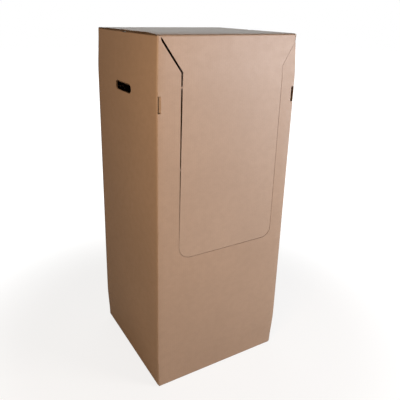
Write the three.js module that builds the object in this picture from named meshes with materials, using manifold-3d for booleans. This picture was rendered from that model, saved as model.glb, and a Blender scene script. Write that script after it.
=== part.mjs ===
// Wardrobe moving carton: a tall corrugated box with a tear-out front door that hangs from the top crease,
// two top flaps that meet at mid-depth, hand holes in its sides, and a steel hanger rail laid across the side walls.
// Millimetres, +Z up. The origin is on the floor under the middle of the carton, and the door faces -Y.
import * as THREE from "three";
import { mergeVertices } from "three/addons/utils/BufferGeometryUtils.js";
import Module from "manifold-3d";

const wasm = await Module();
wasm.setup();

// Carton
const WIDTH = 508; // outside, along X
const DEPTH = 483; // outside, along Y
const HEIGHT = 1220; // floor to the top of the closed flaps
const BOARD = 4; // corrugated board
const FOLD_RADIUS = 5; // outside of every fold
const SEAM = 1.6; // between two flaps that meet
const FLAP_SIDE_CLEARANCE = 1; // from an outer flap's end to the side wall's outer face
const FRONT_FLAP_BEVEL = 4; // free corners of the front top flap
const REAR_FLAP_BEVEL = 24; // free corners of the rear top flap, which leave half of the rail's ears bare
const LAP_WIDTH = 35; // glue lap inside the rear panel
const LAP_END_CLEARANCE = 12; // from the lap's ends to the flaps
const JOINT_CUT = 1.5; // cut edge of the rear panel beside the lap's fold

// Front door, measured from the front panel's left edge, its right edge and the top
const DOOR_LEFT_MARGIN = 77.5;
const DOOR_RIGHT_MARGIN = 56;
const DOOR_BOTTOM = 500; // floor to the bottom cut
const LEFT_SHOULDER_DROP = 108; // top to the foot of the left slanted cut
const RIGHT_SHOULDER_DROP = 102;
const RIGHT_CUT_DROP = 20; // top to where the right slanted cut meets the corner fold
const DOOR_LEFT_RADIUS = 45;
const DOOR_RIGHT_RADIUS = 36;
const WIDE_GAP = 4.6; // where the door stands away from its frame, up its left side
const NARROW_GAP = 0.8; // along the bottom and up the right side
const NICK_LENGTH = 5; // bridges across the cut
const NICK_REACH = 12; // end of the corner bridge, from the left edge
const LEFT_NICK_DROPS = [150, 405, 648]; // top to each bridge
const RIGHT_NICK_DROPS = [157, 520];
const BOTTOM_NICK_X = 253; // from the left edge

// Hand holes in both side walls, at mid-depth
const HAND_HOLE_LENGTH = 126;
const HAND_HOLE_HEIGHT = 31;
const HAND_HOLE_DROP = 178; // top to the hole's centre
const TAB_ANGLE = 64; // how far the hole's tab is pushed in, degrees
const TAB_CUT = 1; // between the tab and the hole's edge

// Tall slots beside the two front folds
const SLOT_WIDTH = 10;
const SLOT_HEIGHT = 51;
const SLOT_INSET = 3; // from the panel's edge
const SLOT_DROP = 197; // top to the slot's centre
const SLUG_CUT = 1.2; // between the left slot's slug and the slot's edge
const SLUG_ANGLE = 12; // how far the slug is pushed in, degrees

// Hanger rail, pressed from one steel strip
const RAIL_WIDTH = 30;
const RAIL_SHEET = 1.5;
const RAIL_BEND = 1.5; // bend radius at mid-thickness
const RAIL_DROP = 48; // top of the carton to the bar's top face
const RAIL_FLANGE = 13; // turned-down sides of the bar
const RAIL_FLANGE_INSET = 8; // from the upright to the flange's end
const RAIL_EAR_INSET = 1; // wall's outer face to the end of the ear that lies on the wall
const RAIL_CLEARANCE = 0.3; // ear and upright to board
const SEAT_DEPTH = 2.2; // board cut away at the fold, where the ear lies on the wall
const NOTCH_CLEARANCE = 2; // round the ear and the upright

// Fits
const CLEARANCE = 0.3; // between boards that lie on each other and can part
const WELD = 0.05; // overlap that makes two stretches of one board one solid
const OVERCUT = 2; // how far a cut runs past the board
const GRID = 1 / 1024; // corners are kept to this, so that faces meant to meet do meet
const CURVE_STEPS = 6;

// Levels and planes worked out from the sizes above
const left = -WIDTH / 2;
const right = WIDTH / 2;
const front = -DEPTH / 2;
const rear = DEPTH / 2;
const bend = FOLD_RADIUS - BOARD / 2;
const flapUnderside = HEIGHT - BOARD;
const wallTop = flapUnderside - CLEARANCE;
const seat = wallTop - SEAT_DEPTH;
const outerFlapLength = DEPTH / 2 - SEAM / 2;
const innerFlapLength = Math.min(WIDTH, DEPTH) / 2 - SEAM / 2;
const handHoleHeight = HEIGHT - HAND_HOLE_DROP;
const slotHeight = HEIGHT - SLOT_DROP;

// Frames that lay a flat outline into a vertical plane, with the thickness along the third direction
const alongX = new THREE.Matrix4().makeBasis(
  new THREE.Vector3(0, 1, 0),
  new THREE.Vector3(0, 0, 1),
  new THREE.Vector3(1, 0, 0),
);
const alongY = new THREE.Matrix4().makeBasis(
  new THREE.Vector3(1, 0, 0),
  new THREE.Vector3(0, 0, 1),
  new THREE.Vector3(0, -1, 0),
);
const alongZ = new THREE.Matrix4();

// A closed geometry as a solid that can be joined and cut.
function solid(geometry) {
  const snapped = geometry.getAttribute("position").array.map((value) => Math.round(value / GRID) * GRID);
  const bare = new THREE.BufferGeometry();
  bare.setAttribute("position", new THREE.BufferAttribute(snapped, 3));
  if (geometry.index) bare.setIndex(geometry.index);
  const merged = mergeVertices(bare, GRID / 2);
  return new wasm.Manifold(
    new wasm.Mesh({
      numProp: 3,
      vertProperties: merged.attributes.position.array,
      triVerts: new Uint32Array(merged.index.array),
    }),
  );
}

// An outline pushed out by a thickness in the given frame, then moved.
function slab(shape, thickness, basis, [x, y, z] = [0, 0, 0]) {
  const geometry = new THREE.ExtrudeGeometry(shape, {
    depth: thickness,
    bevelEnabled: false,
    curveSegments: CURVE_STEPS,
  });
  geometry.applyMatrix4(basis);
  geometry.translate(x, y, z);
  return solid(geometry);
}

function block([x0, y0, z0], [x1, y1, z1]) {
  const geometry = new THREE.BoxGeometry(x1 - x0, y1 - y0, z1 - z0);
  geometry.translate((x0 + x1) / 2, (y0 + y1) / 2, (z0 + z1) / 2);
  return solid(geometry);
}

function join(solids) {
  return solids.reduce((all, next) => all.add(next));
}

function cut(from, solids) {
  return solids.reduce((rest, next) => rest.subtract(next), from);
}

function mirrored(made) {
  return made.mirror([1, 0, 0]);
}

function polygon(points) {
  return new THREE.Shape(points.map(([x, y]) => new THREE.Vector2(x, y)));
}

// A sheet seen from its end: a bent line with a thickness, rounded at every bend.
function ribbon(line, thickness, bendRadius) {
  const points = line.map(([x, y]) => new THREE.Vector2(x, y));
  const last = points.length - 1;
  const towards = (i) => points[i + 1].clone().sub(points[i]).normalize();
  const side = (direction) => new THREE.Vector2(-direction.y, direction.x).multiplyScalar(thickness / 2);
  const start = side(towards(0));
  const shape = new THREE.Shape();
  shape.moveTo(points[0].x - start.x, points[0].y - start.y);
  shape.lineTo(points[0].x + start.x, points[0].y + start.y);
  const corners = [];
  for (let i = 1; i < last; i++) {
    const before = towards(i - 1);
    const after = towards(i);
    const turn = Math.sign(before.cross(after));
    const angle = Math.acos(THREE.MathUtils.clamp(before.dot(after), -1, 1));
    const inward = new THREE.Vector2(-before.y, before.x).multiplyScalar(turn);
    const centre = points[i]
      .clone()
      .addScaledVector(before, -bendRadius * Math.tan(angle / 2))
      .addScaledVector(inward, bendRadius);
    const from = inward.clone().negate().angle();
    corners.push({ centre, from, to: from + turn * angle, turn });
  }
  for (const { centre, from, to, turn } of corners) {
    const radius = bendRadius - (turn * thickness) / 2;
    shape.absarc(centre.x, centre.y, radius, from, to, turn < 0);
  }
  const end = side(towards(last - 1));
  shape.lineTo(points[last].x + end.x, points[last].y + end.y);
  shape.lineTo(points[last].x - end.x, points[last].y - end.y);
  for (const { centre, from, to, turn } of corners.reverse()) {
    const radius = bendRadius + (turn * thickness) / 2;
    shape.absarc(centre.x, centre.y, radius, to, from, turn > 0);
  }
  return shape;
}

// Heights of the two slanted cuts at a distance x from the panel's left edge, a gap above the frame's own edge
const leftSlope = LEFT_SHOULDER_DROP / DOOR_LEFT_MARGIN;
const rightSlope = (RIGHT_SHOULDER_DROP - RIGHT_CUT_DROP) / DOOR_RIGHT_MARGIN;

function leftSlant(x, gap) {
  return HEIGHT - leftSlope * x + gap * Math.hypot(1, leftSlope);
}

function rightSlant(x, gap) {
  return HEIGHT - RIGHT_CUT_DROP - rightSlope * (WIDTH - x) + gap * Math.hypot(1, rightSlope);
}

// The gap at the door's left side narrows from its shoulder down to the rounded corner.
function leftGap(z) {
  const shoulder = leftSlant(DOOR_LEFT_MARGIN + WIDE_GAP, WIDE_GAP);
  return THREE.MathUtils.mapLinear(z, DOOR_BOTTOM + DOOR_LEFT_RADIUS, shoulder, NARROW_GAP, WIDE_GAP);
}

// Outline of the opening in the front panel, or of the door that was cut from it with the two gaps left round it
function doorOutline(wideGap, narrowGap, top) {
  const leftTop = DOOR_LEFT_MARGIN + wideGap;
  const leftLow = left + DOOR_LEFT_MARGIN + narrowGap;
  const rightEdge = WIDTH - DOOR_RIGHT_MARGIN - narrowGap;
  const bottom = DOOR_BOTTOM + narrowGap;
  const leftRadius = DOOR_LEFT_RADIUS - narrowGap;
  const rightRadius = DOOR_RIGHT_RADIUS - narrowGap;
  const leftFold = FOLD_RADIUS + narrowGap;
  const rightFold = WIDTH - FOLD_RADIUS - narrowGap;
  const slantStart = (leftSlant(0, wideGap) - top) / leftSlope;
  const shape = new THREE.Shape();
  shape.moveTo(left + Math.max(leftFold, slantStart), top);
  if (slantStart < leftFold) shape.lineTo(left + leftFold, leftSlant(leftFold, wideGap));
  shape.lineTo(left + leftTop, leftSlant(leftTop, wideGap));
  shape.absarc(leftLow + leftRadius, bottom + leftRadius, leftRadius, Math.PI, 1.5 * Math.PI);
  shape.absarc(left + rightEdge - rightRadius, bottom + rightRadius, rightRadius, 1.5 * Math.PI, 2 * Math.PI);
  shape.lineTo(left + rightEdge, rightSlant(rightEdge, narrowGap));
  shape.lineTo(left + rightFold, rightSlant(rightFold, narrowGap));
  shape.lineTo(left + rightFold, top);
  return shape;
}

// Uncut bridges that still reach across the door's gap from the frame
function doorNicks() {
  const bridge = (x0, x1, z0, z1) => block([left + x0, front, z0], [left + x1, front + BOARD, z1]);
  const half = NICK_LENGTH / 2;
  const nicks = LEFT_NICK_DROPS.map((drop) => {
    const z = HEIGHT - drop;
    const reach = DOOR_LEFT_MARGIN + leftGap(z - half) - CLEARANCE;
    return bridge(DOOR_LEFT_MARGIN - WELD, reach, z - half, z + half);
  });
  const rightEdge = WIDTH - DOOR_RIGHT_MARGIN;
  const narrow = NARROW_GAP - CLEARANCE;
  for (const drop of RIGHT_NICK_DROPS) {
    const z = HEIGHT - drop;
    nicks.push(bridge(rightEdge - narrow, rightEdge + WELD, z - half, z + half));
  }
  nicks.push(bridge(BOTTOM_NICK_X - half, BOTTOM_NICK_X + half, DOOR_BOTTOM - WELD, DOOR_BOTTOM + narrow));
  // The door's inner edge dips as it swings about the top crease, and the corner bridge stays clear of it.
  const doorTop = HEIGHT - wallTop;
  const dip = Math.hypot(BOARD, doorTop) - doorTop;
  const reach = WIDE_GAP - CLEARANCE - dip / Math.hypot(1, leftSlope);
  const corner = polygon([
    [left + FOLD_RADIUS - WELD, leftSlant(FOLD_RADIUS, -WELD)],
    [left + NICK_REACH, leftSlant(NICK_REACH, -WELD)],
    [left + NICK_REACH, leftSlant(NICK_REACH, reach)],
    [left + (leftSlant(0, reach) - wallTop) / leftSlope, wallTop],
    [left + FOLD_RADIUS - WELD, wallTop],
  ]);
  nicks.push(slab(corner, BOARD, alongY, [0, front + BOARD, 0]));
  return nicks;
}

// A rounded slot outline centred on the origin
function stadium(length, height) {
  const radius = height / 2;
  const reach = length / 2 - radius;
  const shape = new THREE.Shape();
  shape.absarc(reach, 0, radius, -Math.PI / 2, Math.PI / 2);
  shape.absarc(-reach, 0, radius, Math.PI / 2, 1.5 * Math.PI);
  return shape;
}

// Side wall with the inner flaps at its top and bottom, one bent sheet seen from the front
function leftSide() {
  const x = left + BOARD / 2;
  const low = 1.5 * BOARD - WELD;
  const high = wallTop - BOARD / 2;
  const end = left + innerFlapLength;
  const line = [[end, low], [x, low], [x, high], [end, high]];
  const length = DEPTH - 2 * FOLD_RADIUS;
  const sheet = slab(ribbon(line, BOARD, bend), length, alongY, [0, length / 2, 0]);
  const hole = stadium(HAND_HOLE_LENGTH, HAND_HOLE_HEIGHT);
  const notchHalf = RAIL_WIDTH / 2 + NOTCH_CLEARANCE;
  const wallInside = left + BOARD;
  const notchEnd = wallInside + RAIL_CLEARANCE + RAIL_SHEET + NOTCH_CLEARANCE;
  return cut(sheet, [
    slab(hole, BOARD + 2 * OVERCUT, alongX, [left - OVERCUT, 0, handHoleHeight]),
    block([left - OVERCUT, -notchHalf, seat], [notchEnd, notchHalf, HEIGHT]),
    block([wallInside, -notchHalf, wallTop - FOLD_RADIUS], [notchEnd, notchHalf, HEIGHT]),
  ]);
}

// The hand hole's tab, still joined along its top fold and pushed inwards
function handHoleTab() {
  const height = HAND_HOLE_HEIGHT - TAB_CUT;
  const shape = stadium(HAND_HOLE_LENGTH - 2 * TAB_CUT, HAND_HOLE_HEIGHT - 2 * TAB_CUT);
  const reach = HAND_HOLE_LENGTH / 2 - HAND_HOLE_HEIGHT / 2;
  const plate = join([
    slab(shape, BOARD, alongX, [-BOARD, 0, -HAND_HOLE_HEIGHT / 2]),
    block([-BOARD, -reach, -HAND_HOLE_HEIGHT / 2], [0, reach, HAND_HOLE_HEIGHT - height + WELD]),
  ]);
  return plate.rotate([0, -TAB_ANGLE, 0]).translate([left + BOARD, 0, handHoleHeight + HAND_HOLE_HEIGHT / 2]);
}

// Front or rear wall with its outer bottom flap, seen from the left
function endWall(outerFace, facing) {
  const y = outerFace + (facing * BOARD) / 2;
  const flapEnd = outerFace + facing * outerFlapLength;
  const line = [[y, wallTop], [y, BOARD / 2], [flapEnd, BOARD / 2]];
  const length = WIDTH - 2 * FOLD_RADIUS;
  return slab(ribbon(line, BOARD, bend), length, alongX, [-length / 2, 0, 0]);
}

// Vertical fold between a side wall and an end wall, on either side of the carton
function cornerFold(sideFace, endFace) {
  const x = sideFace - (Math.sign(sideFace) * BOARD) / 2;
  const y = endFace - (Math.sign(endFace) * BOARD) / 2;
  const farX = sideFace - Math.sign(sideFace) * (FOLD_RADIUS + WELD);
  const farY = endFace - Math.sign(endFace) * (FOLD_RADIUS + WELD);
  const bottom = 2 * BOARD;
  const line = [[x, farY], [x, y], [farX, y]];
  return slab(ribbon(line, BOARD, bend), wallTop - bottom, alongZ, [0, 0, bottom]);
}

// Slug of the left slot, still joined along its right edge and pushed in at its left
function slotSlug() {
  const width = SLOT_WIDTH - SLUG_CUT;
  const half = SLOT_HEIGHT / 2 - SLUG_CUT / 2;
  const plate = block([-width, -BOARD, -half], [SLUG_CUT / 4, 0, half]);
  return plate.rotate([0, 0, -SLUG_ANGLE]).translate([left + SLOT_INSET + SLOT_WIDTH, front + BOARD, slotHeight]);
}

function cartonBody() {
  const side = join([leftSide(), handHoleTab()]);
  const frontWall = endWall(front, 1);
  const rearWall = endWall(rear, -1);
  const folds = [left, right].flatMap((x) => [front, rear].map((y) => cornerFold(x, y)));
  const lapBottom = 2 * BOARD + LAP_END_CLEARANCE;
  const lapTop = wallTop - BOARD - LAP_END_CLEARANCE;
  const lapInside = left + BOARD + CLEARANCE;
  const lap = block(
    [lapInside, rear - 2 * BOARD, lapBottom],
    [left + BOARD + LAP_WIDTH, rear - BOARD + WELD, lapTop],
  );
  const slot = (x) => {
    const half = SLOT_HEIGHT / 2;
    return block(
      [x, front - OVERCUT, slotHeight - half],
      [x + SLOT_WIDTH, front + FOLD_RADIUS, slotHeight + half],
    );
  };
  const opening = doorOutline(0, 0, HEIGHT);
  const rearEdge = left + FOLD_RADIUS;
  const walls = cut(join([side, mirrored(side), frontWall, rearWall, ...folds]), [
    slab(opening, FOLD_RADIUS + OVERCUT, alongY, [0, front + FOLD_RADIUS, 0]),
    slot(left + SLOT_INSET),
    slot(right - SLOT_INSET - SLOT_WIDTH),
    block([rearEdge, rear - BOARD, 2 * BOARD], [rearEdge + JOINT_CUT, rear + OVERCUT, HEIGHT]),
  ]);
  return join([walls, lap, slotSlug(), ...doorNicks()]);
}

// A top flap with the rounded fold at its hinge side and bevelled free corners, closed, seen for the front one
function topFlap(bevel) {
  const half = WIDTH / 2 - FLAP_SIDE_CLEARANCE;
  const free = front + outerFlapLength;
  const outline = polygon([
    [-half, front],
    [half, front],
    [half, free - bevel],
    [half - bevel, free],
    [bevel - half, free],
    [-half, free - bevel],
  ]);
  const section = new THREE.Shape();
  section.moveTo(free + OVERCUT, flapUnderside - OVERCUT);
  section.lineTo(free + OVERCUT, HEIGHT);
  section.absarc(front + FOLD_RADIUS, HEIGHT - FOLD_RADIUS, FOLD_RADIUS, Math.PI / 2, Math.PI);
  section.lineTo(front, flapUnderside - OVERCUT);
  const plate = slab(outline, BOARD, alongZ, [0, 0, flapUnderside]);
  return plate.intersect(slab(section, WIDTH, alongX, [left, 0, 0]));
}

function frontDoor() {
  return slab(doorOutline(WIDE_GAP, NARROW_GAP, wallTop), BOARD, alongY, [0, front + BOARD, 0]);
}

// Seen from the front: an ear on each side wall, an upright down the wall's inner face, and the bar between them
function hangerRail() {
  const upright = left + BOARD + RAIL_CLEARANCE + RAIL_SHEET / 2;
  const ear = seat + RAIL_CLEARANCE + RAIL_SHEET / 2;
  const bar = HEIGHT - RAIL_DROP - RAIL_SHEET / 2;
  const half = [[left + RAIL_EAR_INSET, ear], [upright, ear], [upright, bar]];
  const line = [...half, ...half.map(([x, z]) => [-x, z]).reverse()];
  const strip = slab(ribbon(line, RAIL_SHEET, RAIL_BEND), RAIL_WIDTH, alongY, [0, RAIL_WIDTH / 2, 0]);
  const end = upright + RAIL_FLANGE_INSET;
  const flange = (y) => block([end, y, bar - RAIL_FLANGE], [-end, y + RAIL_SHEET, bar]);
  return join([strip, flange(-RAIL_WIDTH / 2), flange(RAIL_WIDTH / 2 - RAIL_SHEET)]);
}

// A named mesh from a joined solid
function piece(name, made, material) {
  const { vertProperties, triVerts } = made.getMesh();
  const geometry = new THREE.BufferGeometry();
  geometry.setAttribute("position", new THREE.BufferAttribute(vertProperties, 3));
  geometry.setIndex(new THREE.BufferAttribute(triVerts, 1));
  geometry.computeVertexNormals();
  const mesh = new THREE.Mesh(geometry, material);
  mesh.name = name;
  return mesh;
}

const kraftBoard = () => new THREE.MeshStandardMaterial({ color: 0xb18b6d, roughness: 0.85, metalness: 0 });
const galvanisedSteel = () => new THREE.MeshStandardMaterial({ color: 0xa9a8a4, roughness: 0.4, metalness: 1 });

const carton = new THREE.Group();
carton.name = "wardrobe_carton";
carton.add(
  piece("carton_body", cartonBody(), kraftBoard()),
  piece("front_top_flap", topFlap(FRONT_FLAP_BEVEL), kraftBoard()),
  piece("rear_top_flap", topFlap(REAR_FLAP_BEVEL).mirror([0, 1, 0]), kraftBoard()),
  piece("front_door", frontDoor(), kraftBoard()),
  piece("hanger_rail", hangerRail(), galvanisedSteel()),
);

export default carton;
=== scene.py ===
"""Wardrobe moving carton in corrugated kraft board, shown closed.

Every board is built as what it is: an outer and an inner liner with a fluted sheet between them, so that each
cut edge shows its flutes. Metres, +Z up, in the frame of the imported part, with the door facing -Y.
"""

from math import asin, atan2, ceil, cos, hypot, pi, radians, sin

import bmesh
import bpy
from mathutils import Euler, Matrix, Vector, noise
from mathutils.geometry import delaunay_2d_cdt


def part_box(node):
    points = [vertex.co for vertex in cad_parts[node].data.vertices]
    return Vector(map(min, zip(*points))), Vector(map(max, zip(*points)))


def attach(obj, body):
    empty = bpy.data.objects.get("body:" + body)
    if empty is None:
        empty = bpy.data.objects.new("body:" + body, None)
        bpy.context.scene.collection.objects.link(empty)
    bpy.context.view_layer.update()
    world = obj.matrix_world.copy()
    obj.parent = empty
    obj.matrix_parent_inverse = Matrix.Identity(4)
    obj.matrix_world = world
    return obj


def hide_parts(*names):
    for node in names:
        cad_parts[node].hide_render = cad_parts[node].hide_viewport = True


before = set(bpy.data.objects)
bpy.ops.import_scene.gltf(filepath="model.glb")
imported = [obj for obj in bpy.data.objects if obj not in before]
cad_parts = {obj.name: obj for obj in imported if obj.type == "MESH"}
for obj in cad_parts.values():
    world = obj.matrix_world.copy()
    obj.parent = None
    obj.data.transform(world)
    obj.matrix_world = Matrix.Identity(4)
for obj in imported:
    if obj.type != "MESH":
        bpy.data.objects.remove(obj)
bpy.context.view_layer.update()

bl_info = {
    "name": "Wardrobe Carton",
    "version": (1, 0, 0),
    "blender": (4, 5, 0),
    "location": "View3D > Sidebar > Carton",
    "description": "Builds a tall corrugated wardrobe carton with a door, top flaps and a hanger rail",
    "category": "Object",
}

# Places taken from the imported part
BODY_LOW, BODY_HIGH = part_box("carton_body")
FLAP_LOW, FLAP_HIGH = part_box("front_top_flap")
LEFT, RIGHT = BODY_LOW.x, BODY_HIGH.x
FRONT, REAR = BODY_LOW.y, BODY_HIGH.y
WIDTH, DEPTH = RIGHT - LEFT, REAR - FRONT
WALL_TOP = BODY_HIGH.z
HEIGHT = FLAP_HIGH.z

# Board
BOARD = FLAP_HIGH.z - FLAP_LOW.z
LINER = 0.00045
MEDIUM = 0.0003
FLUTE_PITCH = 0.0078
FOLD_RADIUS = 0.005
FOLD_CRUSH = 0.008  # flutes end this far from a fold
OUTER_LINER, INNER_LINER, FLUTING = range(3)  # a board's material slots
BLANK_MAP = "blank"  # each point's place on its flat board, in metres
TAB_GRAIN = (0.31, 0.17)  # the tabs' and the top flaps' own parts of the kraft's pattern
FLAP_GRAIN = (0.9, 1.3)

# Spacing of the sheets' points
CELL = 0.024
FOLD_CELL = FOLD_RADIUS / 3  # across a fold
LAP_CELL = FOLD_RADIUS / 4  # across the glue lap's fold
CRUSH_CELL = 0.003  # across the door's crushed edge
FLUTE_SAMPLES = 6  # lines of points in a flute's pitch
FLUTE_STEP = 0.03  # along a flute where its board curves
FLUTE_SPAN = 0.25  # along a flute where its board is straight
FLUTE_JUMP = 0.012  # most that a flute's end may differ from its neighbour's
CORNER_STEPS = 8  # in a quarter arc
FIRST_ROW = 0.002  # of the walls' points above the bottom flaps
NEAR = 1e-6  # lengths nearer than this are the same
LEVEL = 1e-9  # an edge that runs or rises less than this is parallel to an axis
SHORTEST = 2e-4  # piece that an edge or a flute is cut into
SHARP_ANGLE = radians(35)  # folds sharper than this aren't shaded as round

# Door and its cuts, from the front panel's left edge, its right edge and the top
DOOR_LEFT_MARGIN = 0.0775
DOOR_RIGHT_MARGIN = 0.056
DOOR_BOTTOM = 0.5
LEFT_SHOULDER_DROP = 0.108
RIGHT_SHOULDER_DROP = 0.102
RIGHT_CUT_DROP = 0.02
LEFT_SLOPE = LEFT_SHOULDER_DROP / DOOR_LEFT_MARGIN
RIGHT_SLOPE = (RIGHT_SHOULDER_DROP - RIGHT_CUT_DROP) / DOOR_RIGHT_MARGIN
DOOR_LEFT_RADIUS = 0.045
DOOR_RIGHT_RADIUS = 0.036
WIDE_GAP = 0.0062  # wider than the cut itself, as its crushed edges stand apart
NARROW_GAP = 0.0008
RIGHT_GAP_SHARE = 0.6  # of the narrow gap, as the right cut has closed up
BOTTOM_GAP_SHARE = 1.8  # and the bottom one gapes
DOOR_RECESS = 0.0007  # of the door's right edge behind its frame
DOOR_RECESS_RUN = 0.2  # way below the crease over which the recess grows
DOOR_CRUSH = 0.75  # share of the board's thickness lost where the die cut the door's left edge
DOOR_CRUSH_RUN = 0.012  # way from that cut to full thickness

# Bridges left across the door's cut, as drops from the top
NICK_LENGTH = 0.005
NICK_REACH = 0.012  # of the bridge at the top left, from the panel's left edge
NICK_CLEARANCE = 0.0003
LEFT_NICK_DROPS = (0.150, 0.405, 0.648)
RIGHT_NICK_DROPS = (0.157, 0.520)
BOTTOM_NICK_X = 0.253
WELD = 0.00005  # how far a bridge reaches into its panel

# Hand holes and corner slots
HAND_HOLE_LENGTH = 0.126
HAND_HOLE_HEIGHT = 0.031
HAND_HOLE_DROP = 0.178
TAB_ANGLE = radians(64)
TAB_CUT = 0.001
TAB_ROOT = 0.0006  # how far a tab reaches past its crease
SLOT_WIDTH = 0.010
SLOT_HEIGHT = 0.051
SLOT_INSET = 0.003
SLOT_DROP = 0.197
SLUG_CUT = 0.0022
SLUG_ROOT = 0.0005  # how far the slug reaches past its crease
SLUG_ANGLE = radians(40)

# Flaps and lap
SEAM = 0.0016
FLAP_LENGTH = DEPTH / 2 - SEAM / 2
FLAP_SIDE_CLEARANCE = 0.001
FRONT_FLAP_BEVEL = 0.004
REAR_FLAP_BEVEL = 0.024
CREASE_DROP = 0.0025
PANEL_TOP = WALL_TOP - CREASE_DROP  # where the front and rear panels end and the top flaps' creases begin
LIP_LEFT = WIDTH / 2 - 0.0105  # end of the front crease's lip beside the door's upper left corner
LIP_RIGHT = WIDTH / 2 - 0.0058  # the lips' other ends
LIFT_RUN = (0.010, 0.070)  # way behind the crease over which a top flap lifts
FLUTE_START = 0.012  # flutes of a top flap begin this far behind its crease
LAP_WIDTH = 0.035
LAP_END_CLEARANCE = 0.012
LAP_SINK = 0.002  # the lap starts to sink this far before its fold ends
JOINT_CUT = 0.0015
NOTCH_HALF = 0.017
SEAT_DEPTH = 0.0022
NOTCH_REACH = 0.0078  # from the wall's outer face to the notch's inner end

# A top flap's crease: way along the board, then (in, up) of its outer and its inner face, the board crushed
# flat at the crease and full again some way behind it
CREASE_KEYS = (
    (-0.0050, (0.0, -0.0026), (0.0028, -0.0026)),
    (-0.0038, (0.0, -0.0014), (0.0030, -0.0014)),
    (-0.0026, (0.00035, -0.0004), (0.0034, -0.0004)),
    (-0.0016, (0.0010, 0.0003), (0.0042, 0.0)),
    (-0.0005, (0.0019, 0.0011), (0.0048, 0.0)),
    (0.0010, (0.0032, 0.0018), (0.0056, 0.0)),
    (0.0060, (0.0070, 0.0029), (0.0080, 0.0)),
    (0.0120, (0.0120, 0.0036), (0.0122, 0.0)),
    (0.0180, (0.0180, 0.0039), (0.0180, 0.0)),
    (0.0260, (0.0260, 0.0040), (0.0260, 0.0)),
)

# Hanger rail
RAIL_WIDTH = 0.030
RAIL_SHEET = 0.0015
RAIL_BEND = 0.0015
RAIL_BEND_STEPS = 5
RAIL_DROP = 0.048
RAIL_FLANGE = 0.013
RAIL_FLANGE_INSET = 0.008
RAIL_EAR_INSET = 0.001
RAIL_CLEARANCE = 0.0003

# Panels in their order round the carton, as one blank that starts at the rear left fold
PANEL_STARTS = (0.0, DEPTH, DEPTH + WIDTH, 2 * DEPTH + WIDTH)
CORNERS = (Vector((LEFT, REAR)), Vector((LEFT, FRONT)), Vector((RIGHT, FRONT)), Vector((RIGHT, REAR)))
DIRECTIONS = (Vector((0, -1)), Vector((1, 0)), Vector((0, 1)), Vector((-1, 0)))

# How the standing walls bow, ripple and swell
BOW = (0.0018, 0.0006, 0.0018, 0.0012)  # outward bow of the left, front, right and rear panels
BOW_LOW, BOW_HIGH = 0.16, 0.12  # heights over which it grows from the floor and fades to the top
RIPPLE = 0.0003
RIPPLE_ACROSS, RIPPLE_UP = 2.6, 2.1  # ripples in a metre
RIPPLE_SHIFTS = (7.3, 3.1)  # from one panel's ripples to the next's
SWELL = 0.005  # how far each wall swells out at half height
SWELL_LOW, SWELL_HIGH = 0.15, 0.15  # heights over which it grows from the floor and fades to the top

# Finish, light and camera
OUTER_ROUGHNESS = 0.5
INNER_ROUGHNESS = 0.62
FLUTING_ROUGHNESS = 0.75
CAMERA_PLACE = (-0.8388, -1.4342, 1.2868)
CAMERA_TURN = (71.16, -1.273, -30.34)
CAMERA_LENS = 41.813
CAMERA_SENSOR = 36.0
CAMERA_SHIFT = (0.0163, -0.0802)
FILL_COLOUR = (1.0, 0.92, 0.93)
FILL_STRENGTH = 0.07
FLOOR_REACH = 14.0  # from the carton's middle to the floor's edges
FLOOR_SHADOW_SHARE = 0.35
FLOOR_GLOW = 1.25
FLOOR_FADE = (0.6, 1.5)  # distances from the carton's middle over which the shadow's share fades to nothing
LAMPS = (  # name, place, target, size, power, colour
    ("window", (1.6, -2.0, 1.3), (0.1, -0.24, 0.95), (0.9, 0.9), 49.0, (1.0, 0.965, 1.0)),
    ("right", (2.2, -1.6, 0.5), (0.2, -0.24, 0.6), (0.9, 0.9), 17.0, (0.70, 0.86, 1.0)),
    ("left", (-1.5, -1.1, 1.45), (-0.25, -0.1, 1.0), (0.8, 0.8), 21.0, (1.0, 0.76, 0.51)),
    ("back", (1.7, 3.2, 2.0), (0.1, 0.0, 1.15), (4.0, 2.0), 48.0, (0.95, 1.0, 1.0)),
)


def clamp(value):
    return min(1.0, max(0.0, value))


def smooth(value, low, high):
    """Rises from 0 at low to 1 at high without a corner."""
    t = clamp((value - low) / (high - low))
    return t * t * (3 - 2 * t)


# Shapes of the cuts in the front panel


def left_slant(x, gap):
    return HEIGHT - LEFT_SLOPE * x + gap * hypot(1, LEFT_SLOPE)


def right_slant(x, gap):
    return HEIGHT - RIGHT_CUT_DROP - RIGHT_SLOPE * (WIDTH - x) + gap * hypot(1, RIGHT_SLOPE)


def left_gap(z):
    """Width of the gap at the door's left side, which narrows from the shoulder to the rounded corner."""
    shoulder = left_slant(DOOR_LEFT_MARGIN + WIDE_GAP, WIDE_GAP)
    low = DOOR_BOTTOM + DOOR_LEFT_RADIUS
    share = clamp((z - low) / (shoulder - low))
    return NARROW_GAP + share * (WIDE_GAP - NARROW_GAP)


def arc(centre, radius, start, end, steps):
    return [
        (centre[0] + radius * cos(start + (end - start) * i / steps),
         centre[1] + radius * sin(start + (end - start) * i / steps))
        for i in range(steps + 1)
    ]


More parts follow.
